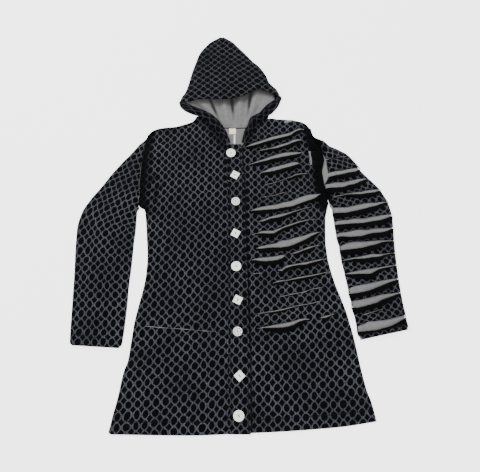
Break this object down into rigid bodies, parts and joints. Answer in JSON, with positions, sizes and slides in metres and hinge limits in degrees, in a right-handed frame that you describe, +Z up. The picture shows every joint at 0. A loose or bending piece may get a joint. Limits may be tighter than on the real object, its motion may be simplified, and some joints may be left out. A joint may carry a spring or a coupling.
{
  "type": "hooded long coat laid flat",
  "caption": "Long coat with a pointed hood, buttoned down the front, laid flat; a lattice-printed knit with one side slashed over a fleece lining.",
  "frame": {"origin": "under the middle of the coat, on the surface that it lies on", "axes": "+X to the wearer's left, +Y to the hood, +Z up from the surface"},
  "size_m": [0.8778, 1.162, 0.029],
  "materials": {
    "printed_knit": "black cotton knit printed with a grey trellis lattice, matt",
    "grey_fleece": "grey brushed fleece, matt with a soft nap",
    "bone_button": "white bone-like button, satin",
    "label_cloth": "pale yellow woven tape, bare"
  },
  "bodies": {
    "root": {"back": "printed_knit", "back_lining": "grey_fleece", "front_right": "printed_knit", "front_left_lining": "grey_fleece", "front_left_slashed": "printed_knit", "button_band": "printed_knit", "sleeve_right_under": "printed_knit", "sleeve_right_upper": "printed_knit", "sleeve_left_under": "printed_knit", "sleeve_left_lining": "grey_fleece", "sleeve_left_slashed": "printed_knit", "hood_back": "printed_knit", "hood_lining": "grey_fleece", "hood_right_crown": "printed_knit", "hood_left_crown": "printed_knit", "hood_right_edge": "printed_knit", "hood_left_edge": "printed_knit", "label": "label_cloth", "label_loop": "label_cloth", "button_1": "bone_button", "button_2": "bone_button", "button_3": "bone_button", "button_4": "bone_button", "button_5": "bone_button", "button_6": "bone_button", "button_7": "bone_button", "button_8": "bone_button", "button_9": "bone_button"}
  },
  "joints": []
}
